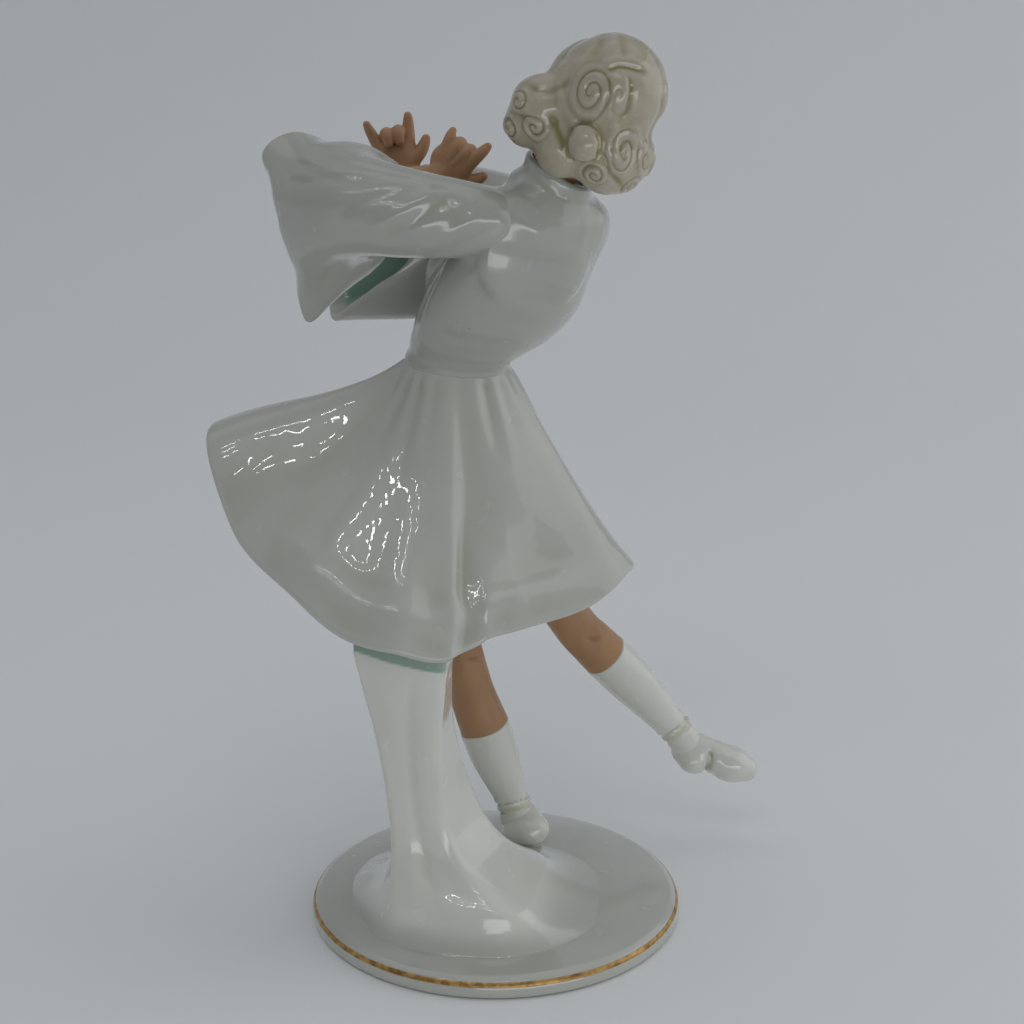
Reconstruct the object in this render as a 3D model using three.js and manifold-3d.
// Porcelain figurine: a dancing girl in a wide skirt and bell sleeves, on a round base with a gilt line.
// Millimetres, +Z up. The origin is under the middle of the base, on the surface it stands on.
// +X is the side of the raised foot, and +Y the side that the girl faces, together with -X.
import * as THREE from "three";
import { mergeVertices } from "three/addons/utils/BufferGeometryUtils.js";
import Module from "manifold-3d";

const wasm = await Module();
wasm.setup();

// ---------------------------------------------------------------- driving dimensions
const GAP = 0.3; // between pieces that are luted together
const LINING_GAP = 0.6; // between a bell sleeve and its lining, whose facets don't run quite alike
const WALL = 2.4; // cast wall of the skirt
const SLEEVE_WALL = 1.7; // cast wall of the bell sleeves, thin enough for their narrow lowest points
const LINING = 0.7; // coloured layer inside them

const BASE_RADIUS = 48.9; // at its widest
const BASE_CROWN = 10.2; // top of its dome
const GILT_HEIGHT = 4; // of the gilt line above the table
const FOOT_RING = 3.4; // width of the unglazed ring it stands on
const RECESS_DEPTH = 4.9;

const TURN = THREE.MathUtils.degToRad(42); // how far her right-hand side points away from +X
const RIGHT = V(Math.cos(TURN), Math.sin(TURN), 0);
const FORWARD = V(-Math.sin(TURN), Math.cos(TURN), 0);

const WAIST = V(-9.3, 13, 147); // middle of the seam between bodice and skirt
const WAIST_HALF = [13.6, 11]; // half width along RIGHT, half depth along FORWARD
const WAIST_TILT = -0.13; // rise of the seam per millimetre along +X

const HEAD_TILT = THREE.MathUtils.degToRad(20); // backwards
const SKULL = V(24, -2, 213.4);

// ---------------------------------------------------------------- helpers
function V(x, y, z) {
  return new THREE.Vector3(x, y, z);
}

// The same solid with its faces pointing out, whichever way its rings were wound.
function outward(geometry) {
  const p = geometry.getAttribute("position");
  const index = geometry.index.array;
  const [a, b, c] = [V(), V(), V()];
  let volume = 0;
  for (let i = 0; i < index.length; i += 3) {
    a.fromBufferAttribute(p, index[i]);
    b.fromBufferAttribute(p, index[i + 1]);
    c.fromBufferAttribute(p, index[i + 2]);
    volume += a.dot(b.cross(c));
  }
  if (volume < 0)
    for (let i = 0; i < index.length; i += 3)
      [index[i + 1], index[i + 2]] = [index[i + 2], index[i + 1]];
  return geometry;
}

// A skin over rings of points, each with the same count. Flat fans close the two ends, or the last
// ring joins the first.
function loft(rings, joined = false) {
  const sides = rings[0].length;
  const points = rings.flat();
  const index = [];
  const spans = joined ? rings.length : rings.length - 1;
  for (let i = 0; i < spans; i++)
    for (let k = 0; k < sides; k++) {
      const a = i * sides + k;
      const b = i * sides + ((k + 1) % sides);
      const c = ((i + 1) % rings.length) * sides + k;
      const d = ((i + 1) % rings.length) * sides + ((k + 1) % sides);
      index.push(a, b, d, a, d, c);
    }
  if (!joined)
    for (const [ring, first, last] of [
      [rings[0], 0, false],
      [rings.at(-1), (rings.length - 1) * sides, true],
    ]) {
      const middle = V(0, 0, 0);
      ring.forEach((p) => middle.addScaledVector(p, 1 / sides));
      points.push(middle);
      for (let k = 0; k < sides; k++) {
        const [a, b] = [first + k, first + ((k + 1) % sides)];
        index.push(...(last ? [a, b, points.length - 1] : [b, a, points.length - 1]));
      }
    }
  const geometry = new THREE.BufferGeometry().setFromPoints(points);
  geometry.setIndex(index);
  return outward(geometry);
}

// An oval ring about a middle, with half sizes a and b along two directions.
function oval(middle, u, v, a, b, sides) {
  return Array.from({ length: sides }, (_, k) => {
    const t = (2 * Math.PI * k) / sides;
    return middle
      .clone()
      .addScaledVector(u, a * Math.cos(t))
      .addScaledVector(v, b * Math.sin(t));
  });
}

// A limb: round or oval sections along a smooth line through its stations, each [x, y, z, radius] or
// [x, y, z, width, depth]. `across` is the direction that the widths run in. Its ends are domed a little.
function limb(stations, { sides = 14, steps = 3, grow = 0, across = V(1, 0, 0), dome = 0.5 } = {}) {
  const line = new THREE.CatmullRomCurve3(stations.map(([x, y, z]) => V(x, y, z)));
  const size = new THREE.CatmullRomCurve3(stations.map(([, , , a, b = a]) => V(a + grow, b + grow, 0)));
  const count = (stations.length - 1) * steps;
  const rings = [];
  const ring = (t, along, scale) => {
    const tangent = line.getTangent(t);
    const v = tangent.clone().cross(across).normalize();
    const u = v.clone().cross(tangent).normalize();
    const s = size.getPoint(t);
    const at = line.getPoint(t).addScaledVector(tangent, along);
    rings.push(oval(at, u, v, s.x * scale, s.y * scale, sides));
  };
  const bulge = (t) => size.getPoint(t).y * dome;
  ring(0, -bulge(0) - grow, 0.55);
  ring(0, -bulge(0) * 0.5 - grow, 0.87);
  for (let i = 0; i <= count; i++) ring(i / count, 0, 1);
  ring(1, bulge(1) * 0.5 + grow, 0.87);
  ring(1, bulge(1) + grow, 0.55);
  return loft(rings);
}

// An ellipsoid in a frame of three directions.
function ellipsoid(middle, [u, v, w], [a, b, c], grow = 0, detail = 16) {
  const g = new THREE.SphereGeometry(1, detail, Math.round(detail * 0.6));
  g.applyMatrix4(new THREE.Matrix4().makeScale(a + grow, b + grow, c + grow));
  g.applyMatrix4(new THREE.Matrix4().makeBasis(u, v, w).setPosition(middle));
  return g;
}

// three.js geometry as a solid that can be cut and joined, and back.
function solid(geometry) {
  const bare = geometry.clone();
  for (const name of ["normal", "uv"]) bare.deleteAttribute(name);
  const merged = mergeVertices(bare, 1e-4);
  const corners = merged.index.array;
  const faces = [];
  for (let i = 0; i < corners.length; i += 3) {
    const [a, b, c] = corners.subarray(i, i + 3);
    if (a !== b && b !== c && c !== a) faces.push(a, b, c); // a lathe leaves slivers on its axis
  }
  return new wasm.Manifold(
    new wasm.Mesh({
      numProp: 3,
      vertProperties: merged.getAttribute("position").array,
      triVerts: new Uint32Array(faces),
    }),
  );
}
function geometryOf(made) {
  const { numProp, vertProperties, triVerts } = made.getMesh();
  const geometry = new THREE.BufferGeometry();
  const position = new Float32Array((vertProperties.length / numProp) * 3);
  for (let i = 0; i < position.length / 3; i++)
    position.set(vertProperties.subarray(i * numProp, i * numProp + 3), i * 3);
  geometry.setAttribute("position", new THREE.BufferAttribute(position, 3));
  geometry.setIndex(new THREE.BufferAttribute(triVerts, 1));
  return geometry;
}
const join = (...geometries) => geometries.map(solid).reduce((a, b) => a.add(b));
// What is left of a solid without the others: its largest body, so that no crumb stays behind, and
// with no edges too short to keep their ends apart in a file.
const SHORTEST_EDGE = 0.02;
function without(made, ...others) {
  const left = others.reduce((a, b) => a.subtract(b), made).simplify(SHORTEST_EDGE);
  return left.decompose().sort((a, b) => b.volume() - a.volume())[0];
}
const rest = (made, others) => geometryOf(without(made, ...others));

// A thin wall between two depths under a surface(turn, down), where turn goes round from 0 to 1 and
// down goes from its top edge at 0 to its free edge at 1. The free edge can go a little `past` that.
function inward(surface, turn, down, depth, past) {
  const step = 1e-3;
  const low = Math.min(Math.max(down, step), 1 - step);
  const alongTurn = surface(turn + step, low).sub(surface(turn - step, low));
  const alongDown = surface(turn, low + step).sub(surface(turn, low - step)).normalize();
  const normal = alongDown.clone().cross(alongTurn).normalize();
  return surface(turn, down)
    .addScaledVector(normal, -depth)
    .addScaledVector(alongDown, down === 1 ? past : 0);
}
function wall(surface, outer, inner, { around, rows, from = 0, closedTop = false, past = 0 }) {
  const ringAt = (down, depth) =>
    Array.from({ length: around }, (_, k) => inward(surface, k / around, down, depth, past));
  const downs = (start) => Array.from({ length: rows + 1 }, (_, i) => start + ((1 - start) * i) / rows);
  const outerRings = downs(closedTop ? 0 : from).map((d) => ringAt(d, outer));
  const innerRings = downs(from).map((d) => ringAt(d, inner));
  return loft([...outerRings, ...innerRings.reverse()], !closedTop);
}

// The rows of a wall from the one numbered `start`, so that a lining keeps its distance all over.
function liningMesh({ around, rows, from = 0 }, start) {
  return { around, rows: rows - start, from: from + ((1 - from) * start) / rows };
}

// ---------------------------------------------------------------- materials
const glaze = (color, roughness = 0.12) => new THREE.MeshStandardMaterial({ color, roughness, metalness: 0 });
const WHITE = glaze(0xe9e8e2);
const SKIN = glaze(0xb98863, 0.35);
const BLONDE = glaze(0xd8cfae, 0.2);
const MINT = glaze(0x7fae9f, 0.2);
const GILT = new THREE.MeshStandardMaterial({ color: 0xa9803c, roughness: 0.3, metalness: 0.9 });

const figurine = new THREE.Group();
function add(name, material, geometry) {
  const mesh = new THREE.Mesh(geometry, material);
  mesh.name = name;
  figurine.add(mesh);
}

// ---------------------------------------------------------------- base and its gilt line
const baseTop = (radius) => {
  const share = Math.min(radius / (BASE_RADIUS - 2.2), 1);
  return BASE_CROWN - (BASE_CROWN - 5.6) * Math.pow(share, 2.6);
};
function baseProfile(grow) {
  const groove = 0.5;
  const radius = BASE_RADIUS + grow;
  const outline = [
    [radius - 0.8, 0],
    [radius - 0.1, 0.9],
    [radius, 2.2],
    [radius - 0.35, GILT_HEIGHT - 0.6],
    [radius - 0.35 - groove, GILT_HEIGHT - 0.55],
    [radius - 0.55 - groove, GILT_HEIGHT + 0.55],
    [radius - 0.55, GILT_HEIGHT + 0.6],
  ];
  for (let i = 0; i <= 6; i++) {
    const r = (BASE_RADIUS - 1.4) * (1 - i / 6);
    outline.push([r, baseTop(r) + grow]);
  }
  return outline;
}
const recess = [
  [0, RECESS_DEPTH],
  [BASE_RADIUS - 16, RECESS_DEPTH - 0.4],
  [BASE_RADIUS - 7, 2.6],
  [BASE_RADIUS - 0.8 - FOOT_RING, 0],
];
// A closed outline of [radius, height] points turned about the Z axis.
function turned(outline) {
  const points = [...outline, outline[0]].map(([r, z]) => new THREE.Vector2(r, z));
  const made = new THREE.LatheGeometry(points, 44).rotateX(Math.PI / 2);
  return solid(outward(made));
}
const COLUMN_VENT = V(-15, -18, 5); // hole through the base under the hollow column
const ventPin = new THREE.CylinderGeometry(2.5, 2.5, 30, 12).rotateX(Math.PI / 2);
const vent = solid(ventPin.translate(...COLUMN_VENT.toArray()));
const baseSolid = turned([...baseProfile(0), ...recess]).subtract(vent);
const baseGrown = turned([...baseProfile(GAP), [0, -5], [BASE_RADIUS - 0.8 + GAP, -5]]);
add("base", WHITE, geometryOf(baseSolid));

const giltIn = BASE_RADIUS - 0.75;
const giltLine = [
  [giltIn, GILT_HEIGHT - 0.5],
  [giltIn + 0.6, GILT_HEIGHT - 0.5],
  [giltIn + 0.45, GILT_HEIGHT + 0.5],
  [giltIn - 0.15, GILT_HEIGHT + 0.5],
];
add("gilt_line", GILT, geometryOf(turned(giltLine)));

// ---------------------------------------------------------------- skirt
// Free edge of the skirt, once round her from her right-hand side by way of the front.
const HEM = new THREE.CatmullRomCurve3(
  [
    V(35.2, 14, 94),
    V(25, 37, 96),
    V(-9, 47, 104),
    V(-45, 41, 117),
    V(-66, 26, 127),
    V(-73.4, 9, 128.6),
    V(-64.4, -8, 108),
    V(-48, -25, 97),
    V(-36, -32, 89.6),
    V(-22.6, -34.5, 86.4),
    V(-10.5, -31.5, 83.6),
    V(-3.2, -22, 84.8),
    V(9, -18, 87.4),
    V(24, -8, 89.2),
    V(33.2, 4, 93.2),
  ],
  true,
);
function waistPoint(angle, spread = 0) {
  const [across, along] = WAIST_HALF.map((half) => half + spread);
  const p = WAIST.clone()
    .addScaledVector(RIGHT, across * Math.cos(angle - TURN))
    .addScaledVector(FORWARD, along * Math.sin(angle - TURN));
  p.z = WAIST.z + WAIST_TILT * (p.x - WAIST.x);
  return p;
}
function skirt(turn, down) {
  const hem = HEM.getPoint(((turn % 1) + 1) % 1);
  const top = waistPoint(Math.atan2(hem.y - WAIST.y, hem.x - WAIST.x));
  const sag = 0.09 * Math.sin(Math.PI * down); // it falls steeply from the waist before it flares
  const p = top.clone().lerp(hem, down);
  p.z -= (top.z - hem.z) * sag;
  return p;
}
const SKIRT_MESH = { around: 46, rows: 6 };
const skirtSolid = solid(wall(skirt, 0, WALL, SKIRT_MESH));
const skirtLining = wall(skirt, WALL + GAP, WALL + GAP + LINING, liningMesh(SKIRT_MESH, 1));
const skirtGrown = solid(wall(skirt, -GAP, WALL + 2 * GAP + LINING, SKIRT_MESH));
add("skirt", WHITE, geometryOf(skirtSolid));
add("skirt_lining", MINT, skirtLining);

// ---------------------------------------------------------------- petticoat, inside the skirt
const petticoat = (grow) =>
  loft(
    [
      [146.0, -9.3, 13.2, 10.2, 7.6],
      [140, -9.2, 13.4, 11.4, 8.6],
      [131, -8.8, 14.6, 15.2, 11.2],
      [121, -8.2, 16.4, 18.2, 12.2],
      [114, -8, 17, 17.6, 11.4],
      [110, -8, 17, 12.6, 8],
    ].map(([z, x, y, across, along], i) =>
      oval(
        V(x, y, z + (i === 0 ? grow : 0) - (i === 5 ? grow : 0)),
        RIGHT,
        FORWARD,
        across + grow,
        along + grow,
        20,
      ),
    ),
  );
const petticoatSolid = solid(petticoat(0));
const petticoatGrown = solid(petticoat(GAP));
const bodiceFloor = new THREE.BoxGeometry(120, 120, 40).translate(0, 0, -20);
bodiceFloor.applyMatrix4(new THREE.Matrix4().makeShear(0, WAIST_TILT, 0, 0, 0, 0));
bodiceFloor.translate(WAIST.x, WAIST.y, WAIST.z);
const aboveWaist = solid(bodiceFloor.clone().translate(0, 0, 40 - GAP));
add("petticoat", WHITE, rest(petticoatSolid, [aboveWaist, skirtGrown]));

// ---------------------------------------------------------------- bodice and collar
const bodice = (grow) =>
  loft(
    [
      [147, -9.3, 13, 14.4, 12],
      [150, -7.6, 12.6, 15, 12.8],
      [152.5, -5.6, 12, 16.8, 14],
      [156, -2.6, 11.2, 19.2, 15.8],
      [162, 1, 9.6, 21.8, 18],
      [170, 4.2, 7.8, 22, 18],
      [178, 8, 5.2, 20.4, 15.2],
      [184.5, 11.6, 3.2, 17.6, 12.8],
      [188.6, 12.2, 2.4, 13.4, 10.4],
      [191.4, 12.4, 1.8, 9.2, 8.4],
    ].map(([z, x, y, across, along], i, { length }) => {
      const level = Math.max(0, 1 - (z - WAIST.z) / 20);
      const rise = i === 0 ? GAP - grow : i === length - 1 ? grow : 0;
      return oval(V(x, y, z + rise), RIGHT, FORWARD, across + grow, along + grow, 24).map((p) =>
        p.setZ(p.z + level * WAIST_TILT * (p.x - x)),
      );
    }),
  );
const bodiceSolid = solid(bodice(0));
const bodiceGrown = solid(bodice(GAP));
const bodiceHollow = solid(
  limb(
    [
      [-9.3, 13, 144, 5, 4],
      [-3.1, 11.2, 156, 13, 10.5],
      [4.6, 7.2, 170, 14.5, 10.5],
      [11, 4, 181, 9, 6],
      [12.4, 2.3, 187, 2.4],
      [12.4, 2, 194, 2.4],
    ],
    { across: RIGHT, sides: 12, steps: 2, dome: 0 },
  ),
);
add("bodice", WHITE, rest(bodiceSolid, [bodiceHollow]));

const NECK_BASE = V(11.6, 1.4, 189.6);
const NECK_TOP = V(20.6, -1.4, 204.6);
const neckLine = NECK_TOP.clone().sub(NECK_BASE).normalize();
const neckSide = RIGHT.clone().addScaledVector(neckLine, -RIGHT.dot(neckLine)).normalize();
const neckFront = neckLine.clone().cross(neckSide);
function collar(radius, grow) {
  const up = (distance) => NECK_BASE.clone().addScaledVector(neckLine, distance);
  return loft([
    oval(up(-3.2 - grow), neckSide, neckFront, radius + 0.9, radius + 0.6, 20),
    oval(up(0.6), neckSide, neckFront, radius + 0.1, radius, 20),
    oval(up(4), neckSide, neckFront, radius, radius, 20),
    oval(up(7.6 + grow), neckSide, neckFront, radius + 0.5, radius + 0.5, 20),
  ]);
}
const collarTube = solid(collar(8.3, 0)).subtract(solid(collar(6.6, 2)));
const collarGrown = solid(collar(8.3 + GAP, GAP));
add("collar", WHITE, rest(collarTube, [bodiceGrown]));

// ---------------------------------------------------------------- head and hair
const HEAD = {
  right: RIGHT.clone(),
  front: FORWARD.clone().multiplyScalar(Math.cos(HEAD_TILT)).add(V(0, 0, Math.sin(HEAD_TILT))),
  up: FORWARD.clone().multiplyScalar(-Math.sin(HEAD_TILT)).add(V(0, 0, Math.cos(HEAD_TILT))),
};
const headPoint = (right, front, up) =>
  SKULL.clone()
    .addScaledVector(HEAD.right, right)
    .addScaledVector(HEAD.front, front)
    .addScaledVector(HEAD.up, up);
const headAxes = [HEAD.right, HEAD.front, HEAD.up];
// Skull, face, cheeks with jaw, chin and nose: place and half sizes, each right, front and up.
const HEAD_SHAPES = [
  [0, -0.6, 0, 11.2, 12.6, 12.4],
  [0, 3.6, -4.6, 9.4, 8.9, 11.4],
  [0, 5, -10.4, 7.4, 6.6, 6.4],
  [0, 9.2, -15, 3.2, 2.9, 2.6],
  [0, 12.4, -6.6, 1.6, 2.5, 3],
];
const head = (grow) =>
  join(
    ...HEAD_SHAPES.map(([r, f, u, a, b, c]) => ellipsoid(headPoint(r, f, u), headAxes, [a, b, c], grow, 14)),
    limb(
      [
        [...NECK_BASE.clone().addScaledVector(neckLine, 2.8).toArray(), 5.5],
        [...NECK_BASE.clone().addScaledVector(neckLine, 9).toArray(), 5.1],
        [...headPoint(0, -1, -9).toArray(), 5.6],
      ],
      { grow, sides: 16, across: HEAD.right },
    ),
  );
const headSolid = head(0);
add("head", SKIN, rest(headSolid, [bodiceGrown]));

// Bobbed hair in curls: crown, fringe, nape and bunches at each side, as in HEAD_SHAPES.
const HAIR_SHAPES = [
  [0.6, -4, 3.4, 13.6, 13.1, 13.5],
  [0, -1, 0, 13.6, 13.8, 13.4],
  [0, 4, 4.6, 9.4, 7, 7],
  [0, -9.4, -10.2, 11.4, 8.2, 9.6],
  [-12.4, 4.6, -3, 7, 8.2, 7.2],
  [12.4, 4.6, -3, 7, 8.2, 7.2],
  [-12.8, 7.2, -8.2, 5.3, 5.7, 5.5],
  [12.8, 7.2, -8.2, 5.3, 5.7, 5.5],
  [-9, -4, -8.5, 7.8, 7.8, 8.2],
  [9, -4, -8.5, 7.8, 7.8, 8.2],
];
const hairFull = join(
  ...HAIR_SHAPES.map(([r, f, u, a, b, c]) => ellipsoid(headPoint(r, f, u), headAxes, [a, b, c], 0, 16)),
);
const faceOpening = ellipsoid(headPoint(0, 14.6, -9), headAxes, [9.2, 14, 12.6], 0, 14);
const throat = ellipsoid(headPoint(0, 4, -19), headAxes, [9.8, 11.8, 8.2], 0, 14);
const hairSolid = without(
  hairFull,
  head(GAP),
  solid(faceOpening),
  solid(throat),
  collarGrown,
  bodiceGrown,
);
add("hair", BLONDE, geometryOf(hairSolid));

// ---------------------------------------------------------------- sleeves
// A bell sleeve: oval sections along the arm, each [x, y, z, heading in degrees, half width, rise,
// drop], and then its free edge, a loop of as many points from the top by way of its outer side.
function sleeveSurface(sections, edge) {
  const arms = sections.map(([x, y, z, heading, half, rise, drop]) => {
    const angle = THREE.MathUtils.degToRad(heading);
    const side = V(-Math.sin(angle), Math.cos(angle), 0);
    return (turn) => {
      const t = 2 * Math.PI * turn;
      const high = Math.cos(t);
      return V(x, y, z + high * (high > 0 ? rise : drop)).addScaledVector(side, half * Math.sin(t));
    };
  });
  const loop = new THREE.CatmullRomCurve3(edge, true);
  const rows = [...arms, (turn) => loop.getPoint(((turn % 1) + 1) % 1)];
  return (turn, down) => new THREE.CatmullRomCurve3(rows.map((row) => row(turn))).getPoint(down);
}
const LEFT_SLEEVE = sleeveSurface(
  [
    [10, -3, 185, 200, 5, 5, 5.6],
    [1, -7.8, 185.4, 190, 8.4, 7.6, 7.6],
    [-9, -9.8, 186.2, 182, 9.5, 9.4, 9.4],
    [-21, -9, 187.2, 172, 11, 11, 10.4],
    [-31.6, -5.4, 188.6, 146, 13, 12.2, 12.8],
    [-37, 2.6, 189.6, 112, 16.4, 13.2, 21],
  ],
  [
    V(-36, 12.6, 199.4),
    V(-48, 8.6, 204.4),
    V(-56, 5, 199.4),
    V(-52.4, 6.6, 188),
    V(-49.6, 8, 176),
    V(-48.8, 9, 163),
    V(-45.6, 9.8, 157.4),
    V(-36.4, 11.1, 166.8),
    V(-26, 12.6, 174.8),
    V(-16, 14, 180.4),
    V(-15.2, 15.2, 188.6),
    V(-24.4, 15.2, 195),
  ],
);
const RIGHT_SLEEVE = sleeveSurface(
  [
    [15, 3, 181, 84, 5, 4, 6],
    [20, 10, 180.6, 102, 8.6, 7.8, 9.6],
    [17, 19.6, 179.8, 124, 9.2, 9, 10],
    [8.6, 28.4, 180, 144, 10.4, 10, 13],
    [-4, 33.4, 182, 170, 11.6, 10.6, 27],
  ],
  [
    V(-17, 33.6, 193.4),
    V(-19, 26.6, 189.6),
    V(-18.6, 23, 181.4),
    V(-21.6, 22.4, 171),
    V(-29.4, 22.4, 163.8),
    V(-36.6, 25, 157.6),
    V(-41.4, 31, 153),
    V(-43, 38, 155),
    V(-43, 43.6, 165),
    V(-37, 46, 176),
    V(-29, 45, 185),
    V(-21.4, 40.6, 191),
  ],
);
// The sleeve is solid down to `from`, and a hollow bell beyond.
const SLEEVE_MESH = { around: 26, rows: 8, from: 0.5, closedTop: true };
const sleeves = {
  left: solid(wall(LEFT_SLEEVE, 0, SLEEVE_WALL, SLEEVE_MESH)),
  right: solid(wall(RIGHT_SLEEVE, 0, SLEEVE_WALL, SLEEVE_MESH)),
};
add("left_sleeve", WHITE, rest(sleeves.left, [bodiceGrown, collarGrown]));
add("right_sleeve", WHITE, rest(sleeves.right, [bodiceGrown, collarGrown]));

// ---------------------------------------------------------------- forearms with hands
// Fingers are [root, knuckle, tip] offsets from the palm in the hand's own frame: across towards the
// thumb, out along the fingers, and out of the back of the hand.
const FINGERS = {
  thumb: [[3.1, -1.8, -0.7], [6.4, 0.7, -1.2], [8.5, 3.6, -1], 1.8],
  index: [[3.2, 2.9, 0], [4, 6.2, 0.6], [4.7, 10, 0.1], 1.7],
  middle: [[1.1, 3.4, 0], [1.1, 5.8, -1.1], [1, 4, -3.8], 1.7],
  ring: [[-1.1, 3.1, 0], [-1.2, 5.4, -1.1], [-1.1, 3.6, -3.8], 1.6],
  little: [[-3, 2.4, 0], [-4.6, 5.4, 0.6], [-5.9, 9, 0.2], 1.5],
};
function arm({ elbow, wrist, palm, out, across }) {
  const fingersOut = out.clone().normalize();
  const back = across.clone().cross(fingersOut).normalize();
  const thumbward = fingersOut.clone().cross(back).normalize();
  const at = ([a, o, b]) =>
    palm.clone().addScaledVector(thumbward, a).addScaledVector(fingersOut, o).addScaledVector(back, b);
  const forearm = limb(
    [
      [...elbow.toArray(), 4.6],
      [...elbow.clone().lerp(wrist, 0.5).toArray(), 4.2],
      [...wrist.toArray(), 3.4],
      [...at([0, -3.4, 0]).toArray(), 3.8, 2.9],
    ],
    { sides: 10, steps: 1, across: thumbward },
  );
  const hand = ellipsoid(palm, [thumbward, fingersOut, back], [4.9, 5, 2.5], 0, 10);
  const fingers = Object.values(FINGERS).map(([root, knuckle, tip, radius]) =>
    limb(
      [
        [...at(root).toArray(), radius],
        [...at(knuckle).toArray(), radius],
        [...at(tip).toArray(), radius * 0.8],
      ],
      { sides: 6, steps: 1, across: back },
    ),
  );
  return join(forearm, hand, ...fingers);
}
const ARMS = {
  left: arm({
    elbow: V(-33, 0.6, 189.4),
    wrist: V(-20.6, 16.6, 192.4),
    palm: V(-11, 22.8, 195),
    out: V(0.64, 0.1, 0.76),
    across: V(0.7, -0.25, -0.62),
  }),
  right: arm({
    elbow: V(-8, 33.4, 182),
    wrist: V(-20.6, 34.6, 190.6),
    palm: V(-25.6, 36, 195.8),
    out: V(-0.14, 0.1, 0.97),
    across: V(0.94, 0.1, 0.1),
  }),
};
// In the crook of the left arm the bell turns back too tightly for a lining, which stops short of it.
const crook = solid(
  limb(
    [
      [-33.5, 9.4, 171, 3.6],
      [-27.4, 10.8, 176.6, 5.2],
      [-21.5, 11.6, 184, 4.2],
      [-19.4, 12, 189, 3.2],
    ],
    { sides: 12, steps: 2 },
  ),
);
for (const [side, surface] of [
  ["left", LEFT_SLEEVE],
  ["right", RIGHT_SLEEVE],
]) {
  const sleeveGrown = solid(wall(surface, -GAP, SLEEVE_WALL + GAP, { ...SLEEVE_MESH, past: GAP }));
  const lined = liningMesh(SLEEVE_MESH, 2);
  const depth = SLEEVE_WALL + LINING_GAP;
  const fullLining = solid(wall(surface, depth, depth + LINING, lined));
  const liningGrown = solid(wall(surface, SLEEVE_WALL, depth + LINING + GAP, { ...lined, past: GAP }));
  add(`${side}_sleeve_lining`, MINT, rest(fullLining, [crook, bodiceGrown]));
  add(`${side}_hand`, SKIN, rest(ARMS[side], [sleeveGrown, liningGrown]));
}

// ---------------------------------------------------------------- legs, socks and shoes
// Each leg's line from hip to ankle, as [x, y, z, radius], is shared by its bare part and its sock.
const LEGS = {
  left: {
    bare: [
      [-15.6, 10.3, 117, 8.8],
      [-13.6, 14.4, 98, 8.2],
      [-11.4, 17.6, 80, 6.6],
      [-9.6, 19, 66, 5.6],
      [-6.6, 19.4, 54, 6],
      [-3.4, 19.6, 44.4, 6.7],
    ],
    sock: [
      [-3.2, 19.6, 43.6, 6.95],
      [-0.6, 19.8, 36, 6.9],
      [1.6, 20, 29, 5.8],
      [3.6, 20, 23.4, 4.9],
      [4.6, 20.2, 20, 4.8],
    ],
  },
  right: {
    bare: [
      [-0.4, 23.7, 117, 8.8],
      [7.4, 26, 99, 8.2],
      [15, 28.4, 81, 6.8],
      [20.4, 30, 70.6, 6],
      [26, 31, 63.8, 6.3],
      [29.2, 31.8, 60.2, 6.5],
    ],
    sock: [
      [29.8, 32, 59.6, 6.75],
      [36, 34.6, 52.4, 6.7],
      [43, 37.2, 43.6, 5.8],
      [48.6, 39, 36.8, 4.9],
      [51, 39.4, 34.4, 4.8],
    ],
  },
};
// A shoe: oval sections from heel to toe, each [x, y, z, half width, half height].
const SHOES = {
  left: [
    [7.9, 17.2, 14.6, 4.4, 4.6],
    [7.2, 20.4, 15.4, 5.4, 6],
    [6, 26, 14.2, 5, 4.8],
    [4.6, 32, 13, 5.4, 3.8],
    [3.4, 38, 12.2, 5, 3],
    [2.8, 41.6, 11.8, 3.6, 2.3],
  ],
  right: [
    [53.2, 39.8, 27.2, 4.2, 4.4],
    [56.2, 39.8, 28.6, 5.2, 5.2],
    [60, 39.9, 27, 4.8, 4.7],
    [64.6, 40, 24.8, 5, 4.4],
    [69.2, 40, 23.2, 4.8, 3.8],
    [72.2, 40, 22.2, 3.6, 2.8],
  ],
};
const flatEnds = { dome: 0.02, sides: 14, steps: 1 };
for (const side of ["left", "right"]) {
  const { bare, sock } = LEGS[side];
  const shoeAcross = side === "left" ? V(1, 0, 0) : V(0, 1, 0);
  const leg = solid(limb(bare, flatEnds));
  const sockSolid = solid(limb(sock, flatEnds));
  const sockGrown = solid(limb(sock, { ...flatEnds, grow: GAP }));
  const shoe = solid(limb(SHOES[side], { sides: 12, steps: 1, across: shoeAcross, dome: 0.6 }));
  add(`${side}_leg`, SKIN, rest(leg, [petticoatGrown, sockGrown, skirtGrown]));
  add(`${side}_sock`, WHITE, geometryOf(sockSolid));
  add(`${side}_shoe`, WHITE, rest(shoe, [sockGrown, baseGrown]));
}

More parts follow.
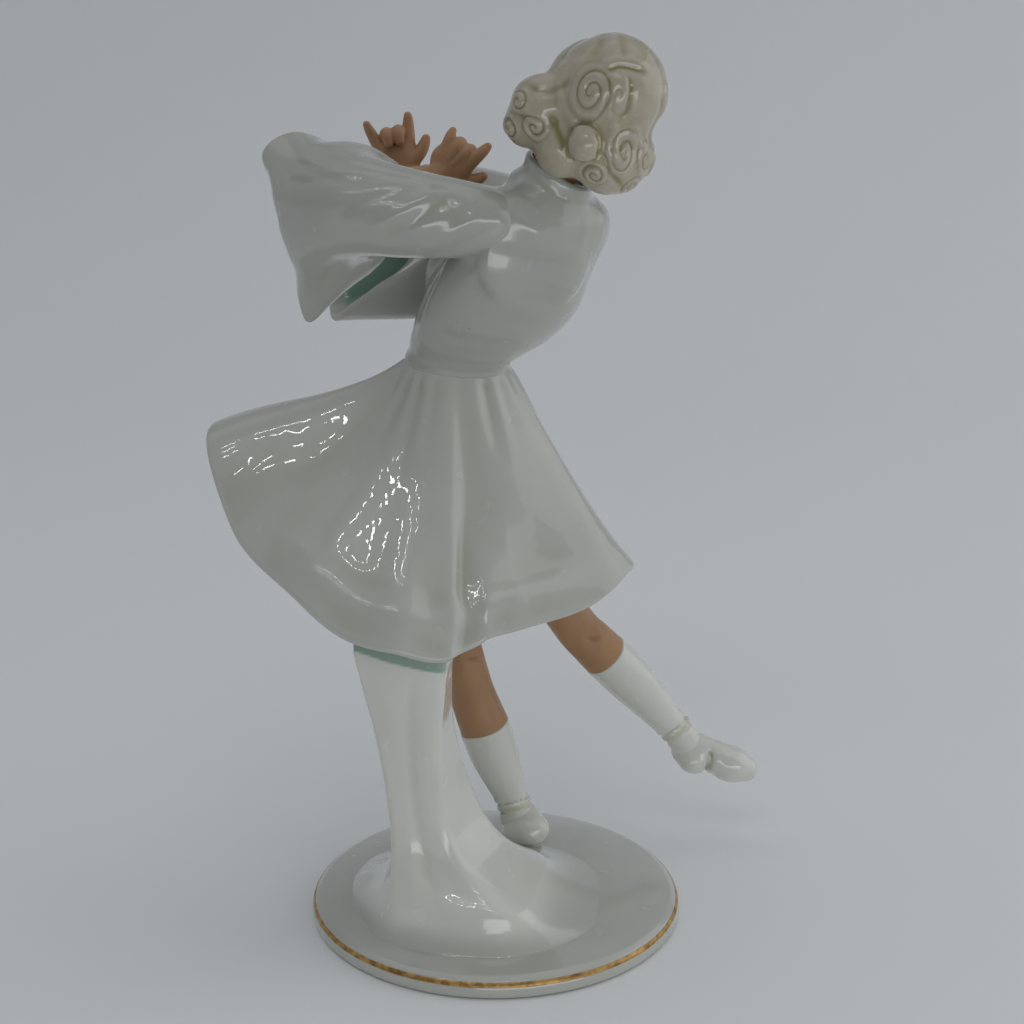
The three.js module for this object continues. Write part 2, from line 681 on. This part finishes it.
// ---------------------------------------------------------------- support column
// A fall of drapery from the hem to the base, four-cornered in plan: levels [z, then x and y of the
// corners near left, near right, far right and far left], each corner rounded. Its foot spreads over
// the dome.
const COLUMN = [
  [95, -29, -18.6, -18, -17.8, -17, -13, -27, -13],
  [89, -31, -23, -17, -22, -16, -16.5, -28.4, -15],
  [82, -32.4, -25.8, -14.8, -26.6, -13.2, -17, -28.2, -15.5],
  [74, -30.2, -24.4, -13.2, -26.2, -11.6, -15.5, -27, -14],
  [61, -26.2, -22.4, -12.8, -24.2, -10.4, -13, -23.5, -12],
  [49, -24.4, -21.4, -12.6, -23.2, -8.6, -12, -21.5, -10],
  [37.5, -23.4, -22.2, -11.8, -23.8, -5.4, -11, -20.5, -9],
  [29, -22.9, -23.6, -9.4, -25, -2, -10, -20, -8.5],
  [22, -22.8, -26, -3.6, -27, 2, -8, -20.2, -7.6],
  [16.6, -22.8, -29, 3, -30.4, 7, -5.6, -20.6, -6],
  [12.6, -23, -32, 10, -33.4, 13, -2, -22, -4.6],
  [9.5, -23.6, -34.4, 15, -35.6, 18, 1.4, -23, -3.4],
  [4, -24, -35, 15.6, -36, 19, 2, -23.6, -3],
];
const COLUMN_ROUND = 2.4;
const CORNER_STEPS = 4;
const column = loft(
  COLUMN.map(([z, ...plan]) => {
    const corners = [0, 2, 4, 6].map((k) => V(plan[k], plan[k + 1], z));
    const outOf = (a, b) => Math.atan2(a.x - b.x, b.y - a.y);
    return corners.flatMap((corner, k) => {
      const from = outOf(corners[(k + 3) % 4], corner);
      const to = outOf(corner, corners[(k + 1) % 4]);
      const turn = (to - from + 4 * Math.PI) % (2 * Math.PI);
      return Array.from({ length: CORNER_STEPS + 1 }, (_, i) => {
        const angle = from + (turn * i) / CORNER_STEPS;
        return V(Math.cos(angle), Math.sin(angle), 0).multiplyScalar(COLUMN_ROUND).add(corner);
      });
    });
  }),
);
const columnHollow = limb(
  [
    [-21.4, -20.6, 76, 5.4, 3.2],
    [-17, -17.4, 46, 4.8, 3.6],
    [-14, -17.4, 24, 5.6, 4.8],
    [-13, -18, 4, 6.6, 6],
  ],
  { sides: 12, steps: 2, across: V(1, 0, 0), dome: 0 },
);
add("support_column", WHITE, rest(solid(column), [baseGrown, skirtGrown, solid(columnHollow)]));

export default figurine;
